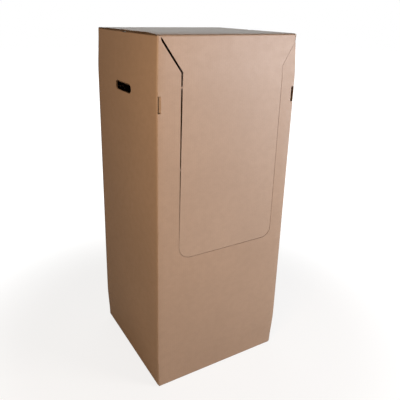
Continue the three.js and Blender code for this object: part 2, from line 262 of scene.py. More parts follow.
def door_outline(wide_gap, narrow_gap, top):
    """Outline of the doorway, or of the door with its gaps, in metres from the front panel's left edge."""
    left_top = DOOR_LEFT_MARGIN + wide_gap
    left_low = DOOR_LEFT_MARGIN + narrow_gap
    right_edge = WIDTH - DOOR_RIGHT_MARGIN - narrow_gap * RIGHT_GAP_SHARE
    bottom = DOOR_BOTTOM + narrow_gap * BOTTOM_GAP_SHARE
    left_radius = DOOR_LEFT_RADIUS - narrow_gap
    right_radius = DOOR_RIGHT_RADIUS - narrow_gap
    left_fold = FOLD_RADIUS + narrow_gap
    right_fold = WIDTH - FOLD_RADIUS - narrow_gap
    slant_start = (left_slant(0, wide_gap) - top) / LEFT_SLOPE
    points = [(max(left_fold, slant_start), top)]
    if slant_start < left_fold:
        points.append((left_fold, left_slant(left_fold, wide_gap)))
    points.append((left_top, left_slant(left_top, wide_gap)))
    centre = (left_low + left_radius, bottom + left_radius)
    points += arc(centre, left_radius, pi, 1.5 * pi, CORNER_STEPS)
    centre = (right_edge - right_radius, bottom + right_radius)
    points += arc(centre, right_radius, 1.5 * pi, 2 * pi, CORNER_STEPS)
    points.append((right_edge, right_slant(right_edge, narrow_gap)))
    points.append((right_fold, right_slant(right_fold, narrow_gap)))
    points.append((right_fold, top))
    return points


def rectangle(x0, y0, x1, y1):
    return [(x0, y0), (x1, y0), (x1, y1), (x0, y1)]


def stadium(centre, length, height):
    """A rounded slot outline."""
    radius = height / 2
    reach = length / 2 - radius
    x, y = centre
    right_end = arc((x + reach, y), radius, -pi / 2, pi / 2, 2 * CORNER_STEPS)
    left_end = arc((x - reach, y), radius, pi / 2, 1.5 * pi, 2 * CORNER_STEPS)
    return right_end + left_end


# Placing the blank in space. Every place function takes u across the flutes, v along them and the depth n
# below the outer face.


def bulged(point):
    """Moves a point outwards as the standing carton swells between its closed ends."""
    swell = smooth(point.z, 0.0, SWELL_LOW) * smooth(WALL_TOP - point.z, 0.0, SWELL_HIGH)
    across, deep = (1 + 2 * SWELL / size * swell for size in (WIDTH, DEPTH))
    return Vector((point.x * across, point.y * deep, point.z))


def panel_relief(panel, s, length, z):
    """How far a point of a wall stands out from its flat panel."""
    across = sin(pi * clamp(s / length))
    up = smooth(z, 0.0, BOW_LOW) * smooth(WALL_TOP - z, 0.0, BOW_HIGH)
    aside, deeper = RIPPLE_SHIFTS
    uneven = noise.noise(Vector((RIPPLE_ACROSS * s + aside * panel, RIPPLE_UP * z, deeper * panel)))
    return across * up * (BOW[panel] + RIPPLE * uneven)


def corner_arc(corner, before, after, angle, v, n):
    """A point of a rounded vertical fold, at an angle from the middle of the arc."""
    middle = Vector((before.y + after.y, -before.x - after.x))
    centre = corner + (after - before) * FOLD_RADIUS
    turned = atan2(middle.y, middle.x) + angle
    flat = centre + Vector((cos(turned), sin(turned))) * (FOLD_RADIUS - n)
    return Vector((flat.x, flat.y, v))


def folded_over(base, outward, run, n):
    """Place in plan, and rise, of a point past a level fold, at a run from the fold's start."""
    if run < 2 * FOLD_RADIUS:
        angle = run / FOLD_RADIUS * pi / 4
        flat = base + outward * ((FOLD_RADIUS - n) * cos(angle) - FOLD_RADIUS)
        return flat, (FOLD_RADIUS - n) * sin(angle)
    return base - outward * (run - FOLD_RADIUS), FOLD_RADIUS - n


def wall_point(u, v, n):
    """A point of the walls and of the flaps folded in from them, wrapped round the rounded vertical folds."""
    panel = max(i for i, start in enumerate(PANEL_STARTS) if u >= start or i == 0)
    s = u - PANEL_STARTS[panel]
    length = (DEPTH, WIDTH)[panel % 2]
    direction = DIRECTIONS[panel]
    outward = Vector((direction.y, -direction.x))
    if s < FOLD_RADIUS - NEAR:
        angle = s / FOLD_RADIUS * pi / 4
        return corner_arc(CORNERS[panel], DIRECTIONS[panel - 1], direction, angle, v, n)
    if s > length - FOLD_RADIUS + NEAR and panel < 3:
        angle = (s - length) / FOLD_RADIUS * pi / 4
        return corner_arc(CORNERS[panel + 1], direction, DIRECTIONS[panel + 1], angle, v, n)
    base = CORNERS[panel] + direction * s
    side = panel % 2 == 0
    floor = BOARD if side else 0.0
    if side and v > WALL_TOP - FOLD_RADIUS:
        flat, rise = folded_over(base, outward, v - WALL_TOP + FOLD_RADIUS, n)
        return Vector((flat.x, flat.y, WALL_TOP - FOLD_RADIUS + rise))
    if v < floor + FOLD_RADIUS:
        flat, rise = folded_over(base, outward, floor + FOLD_RADIUS - v, n)
        return Vector((flat.x, flat.y, floor + FOLD_RADIUS - rise))
    flat = base + outward * (panel_relief(panel, s, length, v) - n)
    return Vector((flat.x, flat.y, v))


def lap_point(u, v, n):
    """The glue lap, which carries on past the rear left fold and lies inside the rear panel."""
    inward = (BOARD + NICK_CLEARANCE) * smooth(-u, FOLD_RADIUS - LAP_SINK, FOLD_RADIUS + JOINT_CUT)
    if -u < FOLD_RADIUS:
        angle = pi - (0.5 - u / FOLD_RADIUS / 2) * pi / 2
        centre = Vector((LEFT + FOLD_RADIUS, REAR - FOLD_RADIUS))
        flat = centre + Vector((cos(angle), sin(angle))) * (FOLD_RADIUS - n)
        return Vector((flat.x, flat.y - inward, v))
    return Vector((LEFT - u, REAR - n - inward, v))


def blank_point(u, v, n):
    return bulged(lap_point(u, v, n) if u < 0 else wall_point(u, v, n))


def front_point(x, z, n):
    """A point of the front panel, x from its left edge."""
    stand = panel_relief(1, x, WIDTH, z)
    return bulged(Vector((LEFT + x, FRONT - stand + n, z)))


# Building the sheets


class Patch:
    """Vertices and faces of one object, with each face's material and each vertex's place on the blank."""

    def __init__(self, shift=(0.0, 0.0)):
        self.points, self.faces, self.materials, self.flat = [], [], [], []
        self.shift = shift

    def add(self, points, flat, faces, material):
        self.points += points
        self.flat += [(x + self.shift[0], y + self.shift[1]) for x, y in flat]
        self.append_faces(faces, len(points), material)

    def append_faces(self, faces, count, material):
        """Adds faces between the last count vertices."""
        base = len(self.points) - count
        self.faces += [tuple(base + i for i in face) for face in faces]
        self.materials += [material] * len(faces)


def inside(point, loops):
    """Whether a point lies inside the outline and outside its holes."""
    x, y = point
    odd = False
    for loop in loops:
        for (x0, y0), (x1, y1) in zip(loop, loop[1:] + loop[:1]):
            if (y0 > y) != (y1 > y) and x < x0 + (y - y0) * (x1 - x0) / (y1 - y0):
                odd = not odd
    return odd


def split_loop(loop, columns, rows):
    """The outline with extra points where it crosses the columns and rows."""
    points = []
    for (x0, y0), (x1, y1) in zip(loop, loop[1:] + loop[:1]):
        shares = {0.0}
        for start, end, cuts in ((x0, x1, columns), (y0, y1, rows)):
            if abs(end - start) > LEVEL:
                shares.update((cut - start) / (end - start) for cut in cuts)
        length = hypot(x1 - x0, y1 - y0)
        last = -1.0
        for share in sorted(s for s in shares if 0 <= s < 1):
            room = share == 0 or (1 - share) * length > SHORTEST
            if room and (share - last) * length > SHORTEST:
                points.append((x0 + share * (x1 - x0), y0 + share * (y1 - y0)))
                last = share
    return points


def fill(loops, columns, rows):
    """Flat points and triangles of an outline with holes, with inner points at the columns and rows."""
    points, edges = [], []
    for loop in loops:
        split = split_loop(loop, columns, rows)
        first = len(points)
        points += split
        edges += [(first + i, first + (i + 1) % len(split)) for i in range(len(split))]
    points += [(c, r) for c in columns for r in rows if inside((c, r), loops)]
    scale = 1000  # millimetres, which suit the triangulation's tolerance
    made = delaunay_2d_cdt([Vector((x * scale, y * scale)) for x, y in points], edges, [], 0, 1e-4)
    flat = [(p.x / scale, p.y / scale) for p in made[0]]

    def middle(face):
        return tuple(sum(flat[i][k] for i in face) / len(face) for k in (0, 1))

    return flat, [tuple(face) for face in made[2] if inside(middle(face), loops)]


def spaced(low, high, spacing):
    """Values from low to high, evenly spaced at about the spacing."""
    count = max(1, round((high - low) / spacing))
    return [low + (high - low) * i / count for i in range(count + 1)]


def liner(patch, filled, place, near, far, material, edge):
    """A closed thin sheet between two depths of the board."""
    flat, triangles = filled
    count = len(flat)
    points = [place(x, y, near) for x, y in flat] + [place(x, y, far) for x, y in flat]
    faces = list(triangles)
    faces += [tuple(count + i for i in reversed(face)) for face in triangles]
    patch.add(points, flat + flat, faces, material)
    used = {pair for face in triangles for pair in zip(face, face[1:] + face[:1])}
    rim = [(b, a, count + a, count + b) for a, b in used if (b, a) not in used]
    patch.append_faces(rim, len(points), edge)


def crossings(loops, x):
    """Where the line at x crosses the outline, from low to high."""
    found = []
    for loop in loops:
        for (x0, y0), (x1, y1) in zip(loop, loop[1:] + loop[:1]):
            if (x0 > x) != (x1 > x):
                found.append(y0 + (x - x0) * (y1 - y0) / (x1 - x0))
    return sorted(found)


def without(spans, breaks):
    """The spans with the breaks taken out."""
    for low, high in breaks:
        spans = [
            piece
            for a, b in spans
            for piece in ((a, min(b, low)), (max(a, high), b))
            if piece[1] - piece[0] > SHORTEST
        ]
    return spans


def flutes(patch, loops, place, skips, breaks, stations, material):
    """The fluted sheet between the liners: a wave across u, cut off where the outline is."""
    low = min(x for x, _ in loops[0])
    high = max(x for x, _ in loops[0])
    step = FLUTE_PITCH / FLUTE_SAMPLES
    reach = (BOARD - 2 * LINER - MEDIUM) / 2
    strips = []
    for i in range(ceil(low / step + 1e-3), int(high / step) + 1):
        u = i * step
        cuts = crossings(loops, u)
        spans = list(zip(cuts[::2], cuts[1::2]))
        if any(a <= u <= b for a, b in skips):
            spans = []
        depth = BOARD / 2 + reach * cos(2 * pi * i / FLUTE_SAMPLES)
        following = []
        for v0, v1 in without(spans, breaks):
            between = [v for v in stations if v0 + NEAR < v < v1 - NEAR]
            line = (u, depth, [v0, *between, v1])
            match = next((strip for strip in strips if continues(strip[-1], line)), [])
            if match:
                strips.remove(match)
            following.append(match + [line])
        for strip in strips:
            close_strip(patch, strip, place, material)
        strips = following
    for strip in strips:
        close_strip(patch, strip, place, material)


def continues(before, line):
    """Whether a flute line carries on the one beside it."""
    first, second = before[2], line[2]
    near = abs(first[0] - second[0]) < FLUTE_JUMP and abs(first[-1] - second[-1]) < FLUTE_JUMP
    return near and first[1:-1] == second[1:-1]


def close_strip(patch, strip, place, material):
    """Turns a run of neighbouring flute lines into one closed thin sheet."""
    if len(strip) < 2:
        return
    count = len(strip[0][2])
    points, flat, faces = [], [], []
    for u, depth, rows in strip:
        for side in (-MEDIUM / 2, MEDIUM / 2):
            points += [place(u, v, depth + side) for v in rows]
            flat += [(u, v) for v in rows]
    row = 2 * count
    for i in range(len(strip) - 1):
        a, b = i * row, (i + 1) * row
        for k in range(count - 1):
            faces.append((a + k, b + k, b + k + 1, a + k + 1))
            faces.append((a + count + k, a + count + k + 1, b + count + k + 1, b + count + k))
        faces.append((a, a + count, b + count, b))
        top = count - 1
        faces.append((a + top, b + top, b + count + top, a + count + top))
    for i in (0, len(strip) - 1):
        a = i * row
        for k in range(count - 1):
            faces.append((a + k, a + k + 1, a + count + k + 1, a + count + k))
    patch.add(points, flat, faces, material)


def upright_stations():
    """Heights at which an upright flute has a point: close together where the carton swells, few between."""
    low = spaced(0.0, SWELL_LOW, FLUTE_STEP)
    high = spaced(WALL_TOP - SWELL_HIGH, WALL_TOP, FLUTE_STEP)
    return low + spaced(low[-1], high[0], FLUTE_SPAN)[1:-1] + high


def board(patch, loops, place, columns=(), rows=(), skips=(), breaks=(), stations=(), edge=None):
    """A whole corrugated board: two liners and the fluting between them."""
    filled = fill(loops, columns, rows)
    liner(patch, filled, place, 0.0, LINER, OUTER_LINER, edge or OUTER_LINER)
    liner(patch, filled, place, BOARD - LINER, BOARD, INNER_LINER, edge or INNER_LINER)
    flutes(patch, loops, place, skips, breaks, stations, FLUTING)


def new_object(name, data):
    made = bpy.data.objects.new(name, data)
    bpy.context.scene.collection.objects.link(made)
    return made


def finish_mesh(mesh, made):
    """An object from its edited mesh, with its shells facing out and soft folds."""
    bmesh.ops.recalc_face_normals(made, faces=made.faces)
    made.to_mesh(mesh)
    made.free()
    mesh.shade_smooth()
    mesh.set_sharp_from_angle(angle=SHARP_ANGLE)
    return new_object(mesh.name, mesh)


def make_object(name, patch, materials):
    """An object from a patch of boards."""
    mesh = bpy.data.meshes.new(name)
    mesh.from_pydata(patch.points, [], patch.faces)
    for material in materials:
        mesh.materials.append(material)
    mesh.polygons.foreach_set("material_index", patch.materials)
    flat = mesh.uv_layers.new(name=BLANK_MAP)
    for corner in mesh.loops:
        flat.data[corner.index].uv = patch.flat[corner.vertex_index]
    made = bmesh.new()
    made.from_mesh(mesh)
    return finish_mesh(mesh, made)


def settle(piece, body, nodes):
    """Puts a finished piece on its body, in place of the part's plain solids."""
    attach(piece, body)
    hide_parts(*nodes)


# Materials


class Nodes:
    """Adds nodes of a few kinds to a tree. A value given to one is a socket, a number or a colour."""

    def __init__(self, tree):
        self.tree = tree

    def add(self, kind, **values):
        """A node with some of its settings and unlinked inputs."""
        node = self.tree.nodes.new(kind)
        for key, value in values.items():
            if hasattr(node, key):
                setattr(node, key, value)
            else:
                node.inputs[key.replace("_", " ")].default_value = value
        return node

    def put(self, value, socket):
        if isinstance(value, bpy.types.NodeSocket):
            self.tree.links.new(value, socket)
        else:
            socket.default_value = (*value, 1) if isinstance(value, (tuple, Vector)) else value

    def noise(self, place, scale, stretch=(1, 1, 1), detail=3.0, roughness=0.55):
        """Noise over the place, stretched along an axis where a stretch is under 1."""
        mapping = self.add("ShaderNodeMapping", Scale=stretch)
        self.put(place, mapping.inputs["Vector"])
        texture = self.add("ShaderNodeTexNoise", Scale=scale, Detail=detail, Roughness=roughness)
        self.put(mapping.outputs["Vector"], texture.inputs["Vector"])
        return texture.outputs["Fac"]

    def ramp(self, value, low, high, low_to=0.0, high_to=1.0):
        """The value taken smoothly from one range to another."""
        node = self.add("ShaderNodeMapRange", interpolation_type="SMOOTHSTEP",
                        From_Min=low, From_Max=high, To_Min=low_to, To_Max=high_to)
        self.put(value, node.inputs["Value"])
        return node.outputs["Result"]

    def mix(self, factor, first, second):
        """A mix of two colours."""
        node = self.add("ShaderNodeMix", data_type="RGBA")
        for value, index in ((factor, 0), (first, 6), (second, 7)):
            self.put(value, node.inputs[index])
        return node.outputs[2]

    def math(self, operation, first, second=0.0):
        node = self.add("ShaderNodeMath", operation=operation)
        self.put(first, node.inputs[0])
        self.put(second, node.inputs[1])
        return node.outputs[0]

    def bump(self, shader, height, strength, distance):
        """Roughens a shader's surface by a height."""
        node = self.add("ShaderNodeBump", Strength=strength, Distance=distance)
        self.put(height, node.inputs["Height"])
        self.put(node.outputs["Normal"], shader.inputs["Normal"])

    def blend(self, share, first, second, output):
        """Sends the first shader to the output, and the second by its share."""
        node = self.add("ShaderNodeMixShader")
        for value, index in ((share, 0), (first, 1), (second, 2)):
            self.put(value, node.inputs[index])
        self.put(node.outputs["Shader"], self.tree.nodes[output].inputs["Surface"])


def new_material(name):
    """A new material, its nodes and its shader."""
    material = bpy.data.materials.new(name)
    material.use_nodes = True
    return material, Nodes(material.node_tree), material.node_tree.nodes["Principled BSDF"]


def kraft_material(name, colour, fibre, roughness, flute_shade_and_bump):
    """Kraft liner: a fibrous brown sheet, clouded and flecked, with the flutes as faint stripes of painted
    shade over their ridges, as well as a bump.
    """
    material, nodes, shader = new_material(name)
    colour = Vector(colour)
    place = nodes.add("ShaderNodeUVMap", uv_map=BLANK_MAP).outputs["UV"]
    clouds = nodes.noise(place, 3.2, detail=4.0)
    mottle = nodes.noise(place, 42.0, detail=5.0)
    fibres = nodes.noise(place, 900.0, stretch=(1, 0.16, 1), detail=2.0)
    flecks = nodes.noise(place, 1500.0, stretch=(1, 0.4, 1), detail=1.0)
    rubbed = nodes.noise(place, 16.0, stretch=(1, 0.5, 1), detail=6.0, roughness=0.7)

    tone = nodes.mix(nodes.ramp(clouds, 0.3, 0.7), colour * 0.96, colour * 1.04)
    tone = nodes.mix(nodes.ramp(mottle, 0.35, 0.7, 0.0, 0.35), tone, colour * 0.86)
    tone = nodes.mix(nodes.ramp(fibres, 0.42, 0.62, 0.0, 0.16 * fibre), tone, colour * 1.3)
    tone = nodes.mix(nodes.ramp(flecks, 0.66, 0.74, 0.0, 0.5 * fibre), tone, colour * 0.55)
    tone = nodes.mix(nodes.ramp(rubbed, 0.6, 0.78, 0.0, 0.12), tone, colour * 1.22)

    position = nodes.add("ShaderNodeSeparateXYZ")
    nodes.put(place, position.inputs["Vector"])
    # faint darker stripes over the flutes: painted shade of the liner's washboard ridges
    wave = nodes.math("SINE", nodes.math("MULTIPLY", position.outputs["X"], 2 * pi / FLUTE_PITCH))
    tone = nodes.mix(nodes.ramp(wave, -1.0, 1.0, 0.0, flute_shade_and_bump), tone, colour * 0.8)
    nodes.put(tone, shader.inputs["Base Color"])

    grain = nodes.math("ADD", nodes.math("MULTIPLY", fibres, 0.35), mottle)
    grain = nodes.math("ADD", grain, nodes.math("MULTIPLY", wave, 0.5 * flute_shade_and_bump))
    nodes.bump(shader, grain, 0.5, 0.00025)
    nodes.put(nodes.ramp(mottle, 0.3, 0.7, roughness - 0.02, roughness + 0.02), shader.inputs["Roughness"])
    shader.inputs["Specular IOR Level"].default_value = 0.5
    return material


def steel_material(name, colour):
    """Dull galvanised steel: faint spangle, drawn lines along the strip and a little white bloom."""
    material, nodes, shader = new_material(name)
    colour = Vector(colour)
    place = nodes.add("ShaderNodeTexCoord").outputs["Object"]
    spangle = nodes.add("ShaderNodeTexVoronoi", Scale=160.0)
    nodes.put(place, spangle.inputs["Vector"])
    drawn = nodes.noise(place, 700.0, stretch=(0.02, 1, 1), detail=2.0)
    bloom = nodes.noise(place, 24.0, detail=5.0)
    tone = nodes.mix(spangle.outputs["Color"], colour * 0.92, colour * 1.04)
    tone = nodes.mix(nodes.ramp(bloom, 0.5, 0.75, 0.0, 0.5), tone, (0.7, 0.7, 0.69))
    nodes.put(tone, shader.inputs["Base Color"])
    shader.inputs["Metallic"].default_value = 1.0
    nodes.put(nodes.ramp(drawn, 0.3, 0.7, 0.3, 0.46), shader.inputs["Roughness"])
    nodes.bump(shader, drawn, 0.35, 0.0001)
    return material


def floor_material(name, colour):
    """A pale floor that goes white for the camera, keeps part of the shadow near the carton and fades out."""
    material, nodes, shader = new_material(name)
    place = nodes.add("ShaderNodeTexCoord").outputs["Object"]
    speckle = nodes.noise(place, 30.0)
    nodes.put(nodes.mix(speckle, Vector(colour) * 0.97, Vector(colour)), shader.inputs["Base Color"])
    shader.inputs["Roughness"].default_value = 0.9
    shader.inputs["Specular IOR Level"].default_value = 0.1

    glow = nodes.add("ShaderNodeEmission", Strength=FLOOR_GLOW, Color=(1, 1, 1, 1))
    distance = nodes.add("ShaderNodeVectorMath", operation="LENGTH")
    nodes.put(place, distance.inputs[0])
    white = nodes.ramp(distance.outputs["Value"], *FLOOR_FADE, 1 - FLOOR_SHADOW_SHARE, 1.0)
    share = nodes.math("MULTIPLY", nodes.add("ShaderNodeLightPath").outputs["Is Camera Ray"], white)
    nodes.blend(share, shader.outputs["BSDF"], glow.outputs["Emission"], "Material Output")
    return material


def finishes(outer="outer_liner"):
    """The three finishes of a board: outer liner, inner liner and fluting."""
    look = bpy.context.scene.carton_look
    # the door gets a lighter, pinker copy of the outer liner, which paints the sheen it catches
    outer_colour = look.door_sheen_colour if outer == "door_liner_painted_sheen" else look.outer_colour
    kinds = (
        (outer, outer_colour, 1.0, OUTER_ROUGHNESS, 0.10),
        ("inner_liner", look.inner_colour, 1.4, INNER_ROUGHNESS, 0.16),
        ("fluting", look.fluting_shade_colour, 1.8, FLUTING_ROUGHNESS, 0.0),
    )
    return [bpy.data.materials.get(kind[0]) or kraft_material(*kind) for kind in kinds]


# The settings a user would change


class CartonLook(bpy.types.PropertyGroup):
    outer_colour: bpy.props.FloatVectorProperty(
        name="Outer liner", description="Colour of the kraft liner outside",
        default=(0.405, 0.273, 0.187), size=3, subtype="COLOR", min=0, max=1)
    # Door liner: the outer liner's colour made lighter and pinker, painted sheen for the light the door
    # catches at its slightly different angle
    door_sheen_colour: bpy.props.FloatVectorProperty(
        name="Door liner", description="Colour of the kraft liner outside on the door",
        default=(0.42, 0.29, 0.205), size=3, subtype="COLOR", min=0, max=1)
    inner_colour: bpy.props.FloatVectorProperty(
        name="Inner liner", description="Colour of the kraft liner inside",
        default=(0.40, 0.26, 0.165), size=3, subtype="COLOR", min=0, max=1)
    # Fluting: darkened well below the liners, painted shade inside the cut edges and the door's gap
    fluting_shade_colour: bpy.props.FloatVectorProperty(
        name="Fluting", description="Colour of the fluted sheet between the liners",
        default=(0.12, 0.075, 0.046), size=3, subtype="COLOR", min=0, max=1)
    steel_colour: bpy.props.FloatVectorProperty(
        name="Rail", description="Colour of the galvanised rail",
        default=(0.55, 0.55, 0.54), size=3, subtype="COLOR", min=0, max=1)
    floor_colour: bpy.props.FloatVectorProperty(
        name="Floor", description="Colour of the floor",
        default=(0.5, 0.47, 0.44), size=3, subtype="COLOR", min=0, max=1)


class CartonShape(bpy.types.PropertyGroup):
    front_lift: bpy.props.FloatProperty(
        name="Front flap lift", description="Height of the front top flap's left side behind its crease",
        default=0.003, min=0, max=0.02, unit="LENGTH")
    front_seam_lift: bpy.props.FloatProperty(
        name="Front flap lift at seam", description="Height of the front top flap's left side at the seam",
        default=0.0015, min=0, max=0.02, unit="LENGTH")
    rear_lift: bpy.props.FloatProperty(
        name="Rear flap lift", description="Height of the rear top flap's left side behind its crease",
        default=0.0, min=0, max=0.02, unit="LENGTH")
    rear_seam_lift: bpy.props.FloatProperty(
        name="Rear flap lift at seam", description="Height of the rear top flap's left side at the seam",
        default=0.0015, min=0, max=0.02, unit="LENGTH")


# Operators


class CARTON_OT_walls(bpy.types.Operator):
    """Builds the walls with their inner and bottom flaps as one folded blank, and the glue lap"""

    bl_idname = "carton.walls"
    bl_label = "Walls"

    def execute(self, context):
        patch = Patch()
        bottom = 2 * BOARD
        spans = self.panel_spans()
        columns = set()
        for start in PANEL_STARTS:
            columns.update(spaced(start - FOLD_RADIUS, start + FOLD_RADIUS, FOLD_CELL))
        for low, high in spans:
            columns.update(spaced(low, high, CELL))
        columns = sorted(c for c in columns if 0 < c < spans[-1][1])
        rows = spaced(bottom + FIRST_ROW, WALL_TOP - FOLD_RADIUS, CELL)
        rows += spaced(WALL_TOP - FOLD_RADIUS, WALL_TOP + FOLD_RADIUS, FOLD_CELL)[1:]
        rows += spaced(-FOLD_RADIUS, BOARD + FOLD_RADIUS, FOLD_CELL)[:-1]
        loops = [self.outline(spans, bottom)] + self.holes()
        skips = [(start - FOLD_CRUSH, start + FOLD_CRUSH) for start in PANEL_STARTS]
        breaks = [(-FOLD_CRUSH, BOARD + FOLD_CRUSH), (WALL_TOP - FOLD_CRUSH, WALL_TOP + FOLD_CRUSH)]
        board(patch, loops, blank_point, columns, rows, skips, breaks, upright_stations())
        self.add_lap(patch)
        settle(make_object("carton_walls", patch, finishes()), "carton", ["carton_body"])
        return {"FINISHED"}

    def panel_spans(self):
        """The flat part of each panel, between its folds or up to the cut edge of the rear panel."""
        lengths = (DEPTH, WIDTH, DEPTH, WIDTH)
        spans = [
            (start + FOLD_RADIUS, start + length - FOLD_RADIUS)
            for start, length in zip(PANEL_STARTS, lengths)
        ]
        spans[-1] = (spans[-1][0], spans[-1][1] - JOINT_CUT)
        return spans

    def outline(self, spans, bottom):
        """The blank's outline, with the flaps' slots at the folds and the doorway open at the top."""
        points = [(0.0, bottom)]
        for panel, (low, high) in enumerate(spans):
            tip = (BOARD, 0.0)[panel % 2] - FLAP_LENGTH
            points += [(low, bottom), (low, tip), (high, tip), (high, bottom)]
        tip = WALL_TOP + FLAP_LENGTH
        (left_low, left_high), _, (right_low, right_high), (rear_low, rear_high) = spans
        points += [(rear_high, PANEL_TOP), (rear_low, PANEL_TOP), (rear_low, WALL_TOP)]
        points += [(right_high, WALL_TOP), (right_high, tip), (right_low, tip), (right_low, WALL_TOP)]
        doorway = door_outline(0.0, 0.0, WALL_TOP)
        points += [(PANEL_STARTS[1] + x, z) for x, z in reversed(doorway)]
        points += [(left_high, WALL_TOP), (left_high, tip), (left_low, tip), (left_low, WALL_TOP)]
        return points + [(0.0, WALL_TOP)]

    def holes(self):
        """Hand holes and the rail's notches in the sides, and the tall slots beside the front folds."""
        loops = []
        for start in (PANEL_STARTS[0], PANEL_STARTS[2]):
            middle = start + DEPTH / 2
            centre = (middle, HEIGHT - HAND_HOLE_DROP)
            loops.append(stadium(centre, HAND_HOLE_LENGTH, HAND_HOLE_HEIGHT))
            angle = asin(1 - SEAT_DEPTH / FOLD_RADIUS)
            low = WALL_TOP - FOLD_RADIUS + angle / (pi / 4) * FOLD_RADIUS
            loops.append(rectangle(middle - NOTCH_HALF, low, middle + NOTCH_HALF, WALL_TOP + NOTCH_REACH))
        low = HEIGHT - SLOT_DROP - SLOT_HEIGHT / 2
        for inset in (SLOT_INSET, WIDTH - SLOT_INSET - SLOT_WIDTH):
            x = PANEL_STARTS[1] + inset
            loops.append(rectangle(x, low, x + SLOT_WIDTH, low + SLOT_HEIGHT))
        return loops

    def add_lap(self, patch):
        bottom = 2 * BOARD
        low = bottom + LAP_END_CLEARANCE
        high = WALL_TOP - BOARD - LAP_END_CLEARANCE
        end = -(BOARD + LAP_WIDTH)
        fold = -FOLD_RADIUS
        outline = [(end, low), (fold, low), (fold, bottom), (0.0, bottom)]
        outline += [(0.0, WALL_TOP), (fold, WALL_TOP), (fold, high), (end, high)]
        columns = spaced(fold - 2 * JOINT_CUT, 0.0, LAP_CELL)[:-1]
        rows = spaced(bottom, WALL_TOP, CELL)[1:-1]
        skips = [(-FOLD_CRUSH, 0.0)]
        board(patch, [outline], blank_point, columns, rows, skips, (), upright_stations())


class CARTON_OT_tabs(bpy.types.Operator):
    """Builds the hand holes' tabs, the left slot's slug and the bridges across the door's cut"""

    bl_idname = "carton.tabs"
    bl_label = "Tabs and bridges"

    def execute(self, context):
        patch = Patch(TAB_GRAIN)
        self.hand_hole_tabs(patch)
        self.slug(patch)
        self.bridges(patch)
        settle(make_object("carton_tabs", patch, finishes()), "carton", ["carton_body"])
        return {"FINISHED"}

    def hand_hole_tabs(self, patch):
        radius = HAND_HOLE_HEIGHT / 2 - TAB_CUT
        reach = HAND_HOLE_LENGTH / 2 - HAND_HOLE_HEIGHT / 2
        middle = -HAND_HOLE_HEIGHT / 2
        outline = arc((reach, middle), radius, -pi / 2, pi / 2, 2 * CORNER_STEPS)
        outline += [(reach, TAB_ROOT), (-reach, TAB_ROOT)]
        outline += arc((-reach, middle), radius, pi / 2, 1.5 * pi, 2 * CORNER_STEPS)
        turn = Matrix.Rotation(-TAB_ANGLE, 3, "Y")
        top = HEIGHT - HAND_HOLE_DROP + HAND_HOLE_HEIGHT / 2
        for side in (1, -1):

            def place(y, z, n, side=side):
                point = turn @ Vector((n - BOARD, y, z)) + Vector((LEFT + BOARD, 0, top))
                swollen = bulged(Vector((LEFT, 0, top))).x - LEFT
                return Vector((side * (point.x + swollen), point.y, point.z))

            board(patch, [outline], place)

    def slug(self, patch):
        width = SLOT_WIDTH - SLUG_CUT
        half = SLOT_HEIGHT / 2 - SLUG_CUT / 2
        turn = Matrix.Rotation(-SLUG_ANGLE, 3, "Z")
        root = Vector((LEFT + SLOT_INSET + SLOT_WIDTH, FRONT, HEIGHT - SLOT_DROP))

        def place(x, z, n):
            point = turn @ Vector((x, n, z))
            point.x = min(point.x, SLUG_ROOT)  # crushed against the slot's edge
            return bulged(point + root)

        board(patch, [rectangle(-width, -half + SLUG_CUT / 2, SLUG_ROOT, half)], place)

    def bridges(self, patch):
        half = NICK_LENGTH / 2
        for drop in LEFT_NICK_DROPS:
            z = HEIGHT - drop
            reach = DOOR_LEFT_MARGIN + left_gap(z - half) - NICK_CLEARANCE
            self.bridge(patch, DOOR_LEFT_MARGIN - WELD, z - half, reach, z + half)
        edge = WIDTH - DOOR_RIGHT_MARGIN
        narrow = NARROW_GAP - NICK_CLEARANCE
        for drop in RIGHT_NICK_DROPS:
            z = HEIGHT - drop
            self.bridge(patch, edge - narrow, z - half, edge + WELD, z + half)
        low, high = DOOR_BOTTOM - WELD, DOOR_BOTTOM + narrow
        self.bridge(patch, BOTTOM_NICK_X - half, low, BOTTOM_NICK_X + half, high)
        dip = hypot(BOARD, HEIGHT - WALL_TOP) - HEIGHT + WALL_TOP  # of the door's inner edge as it swings
        reach = WIDE_GAP - NICK_CLEARANCE - dip / hypot(1, LEFT_SLOPE)
        corner = [
            (FOLD_RADIUS - WELD, left_slant(FOLD_RADIUS, -WELD)),
            (NICK_REACH, left_slant(NICK_REACH, -WELD)),
            (NICK_REACH, left_slant(NICK_REACH, reach)),
            ((left_slant(0, reach) - WALL_TOP) / LEFT_SLOPE, WALL_TOP),
            (FOLD_RADIUS - WELD, WALL_TOP),
        ]
        board(patch, [corner], front_point)

    def bridge(self, patch, *corners):
        board(patch, [rectangle(*corners)], front_point)


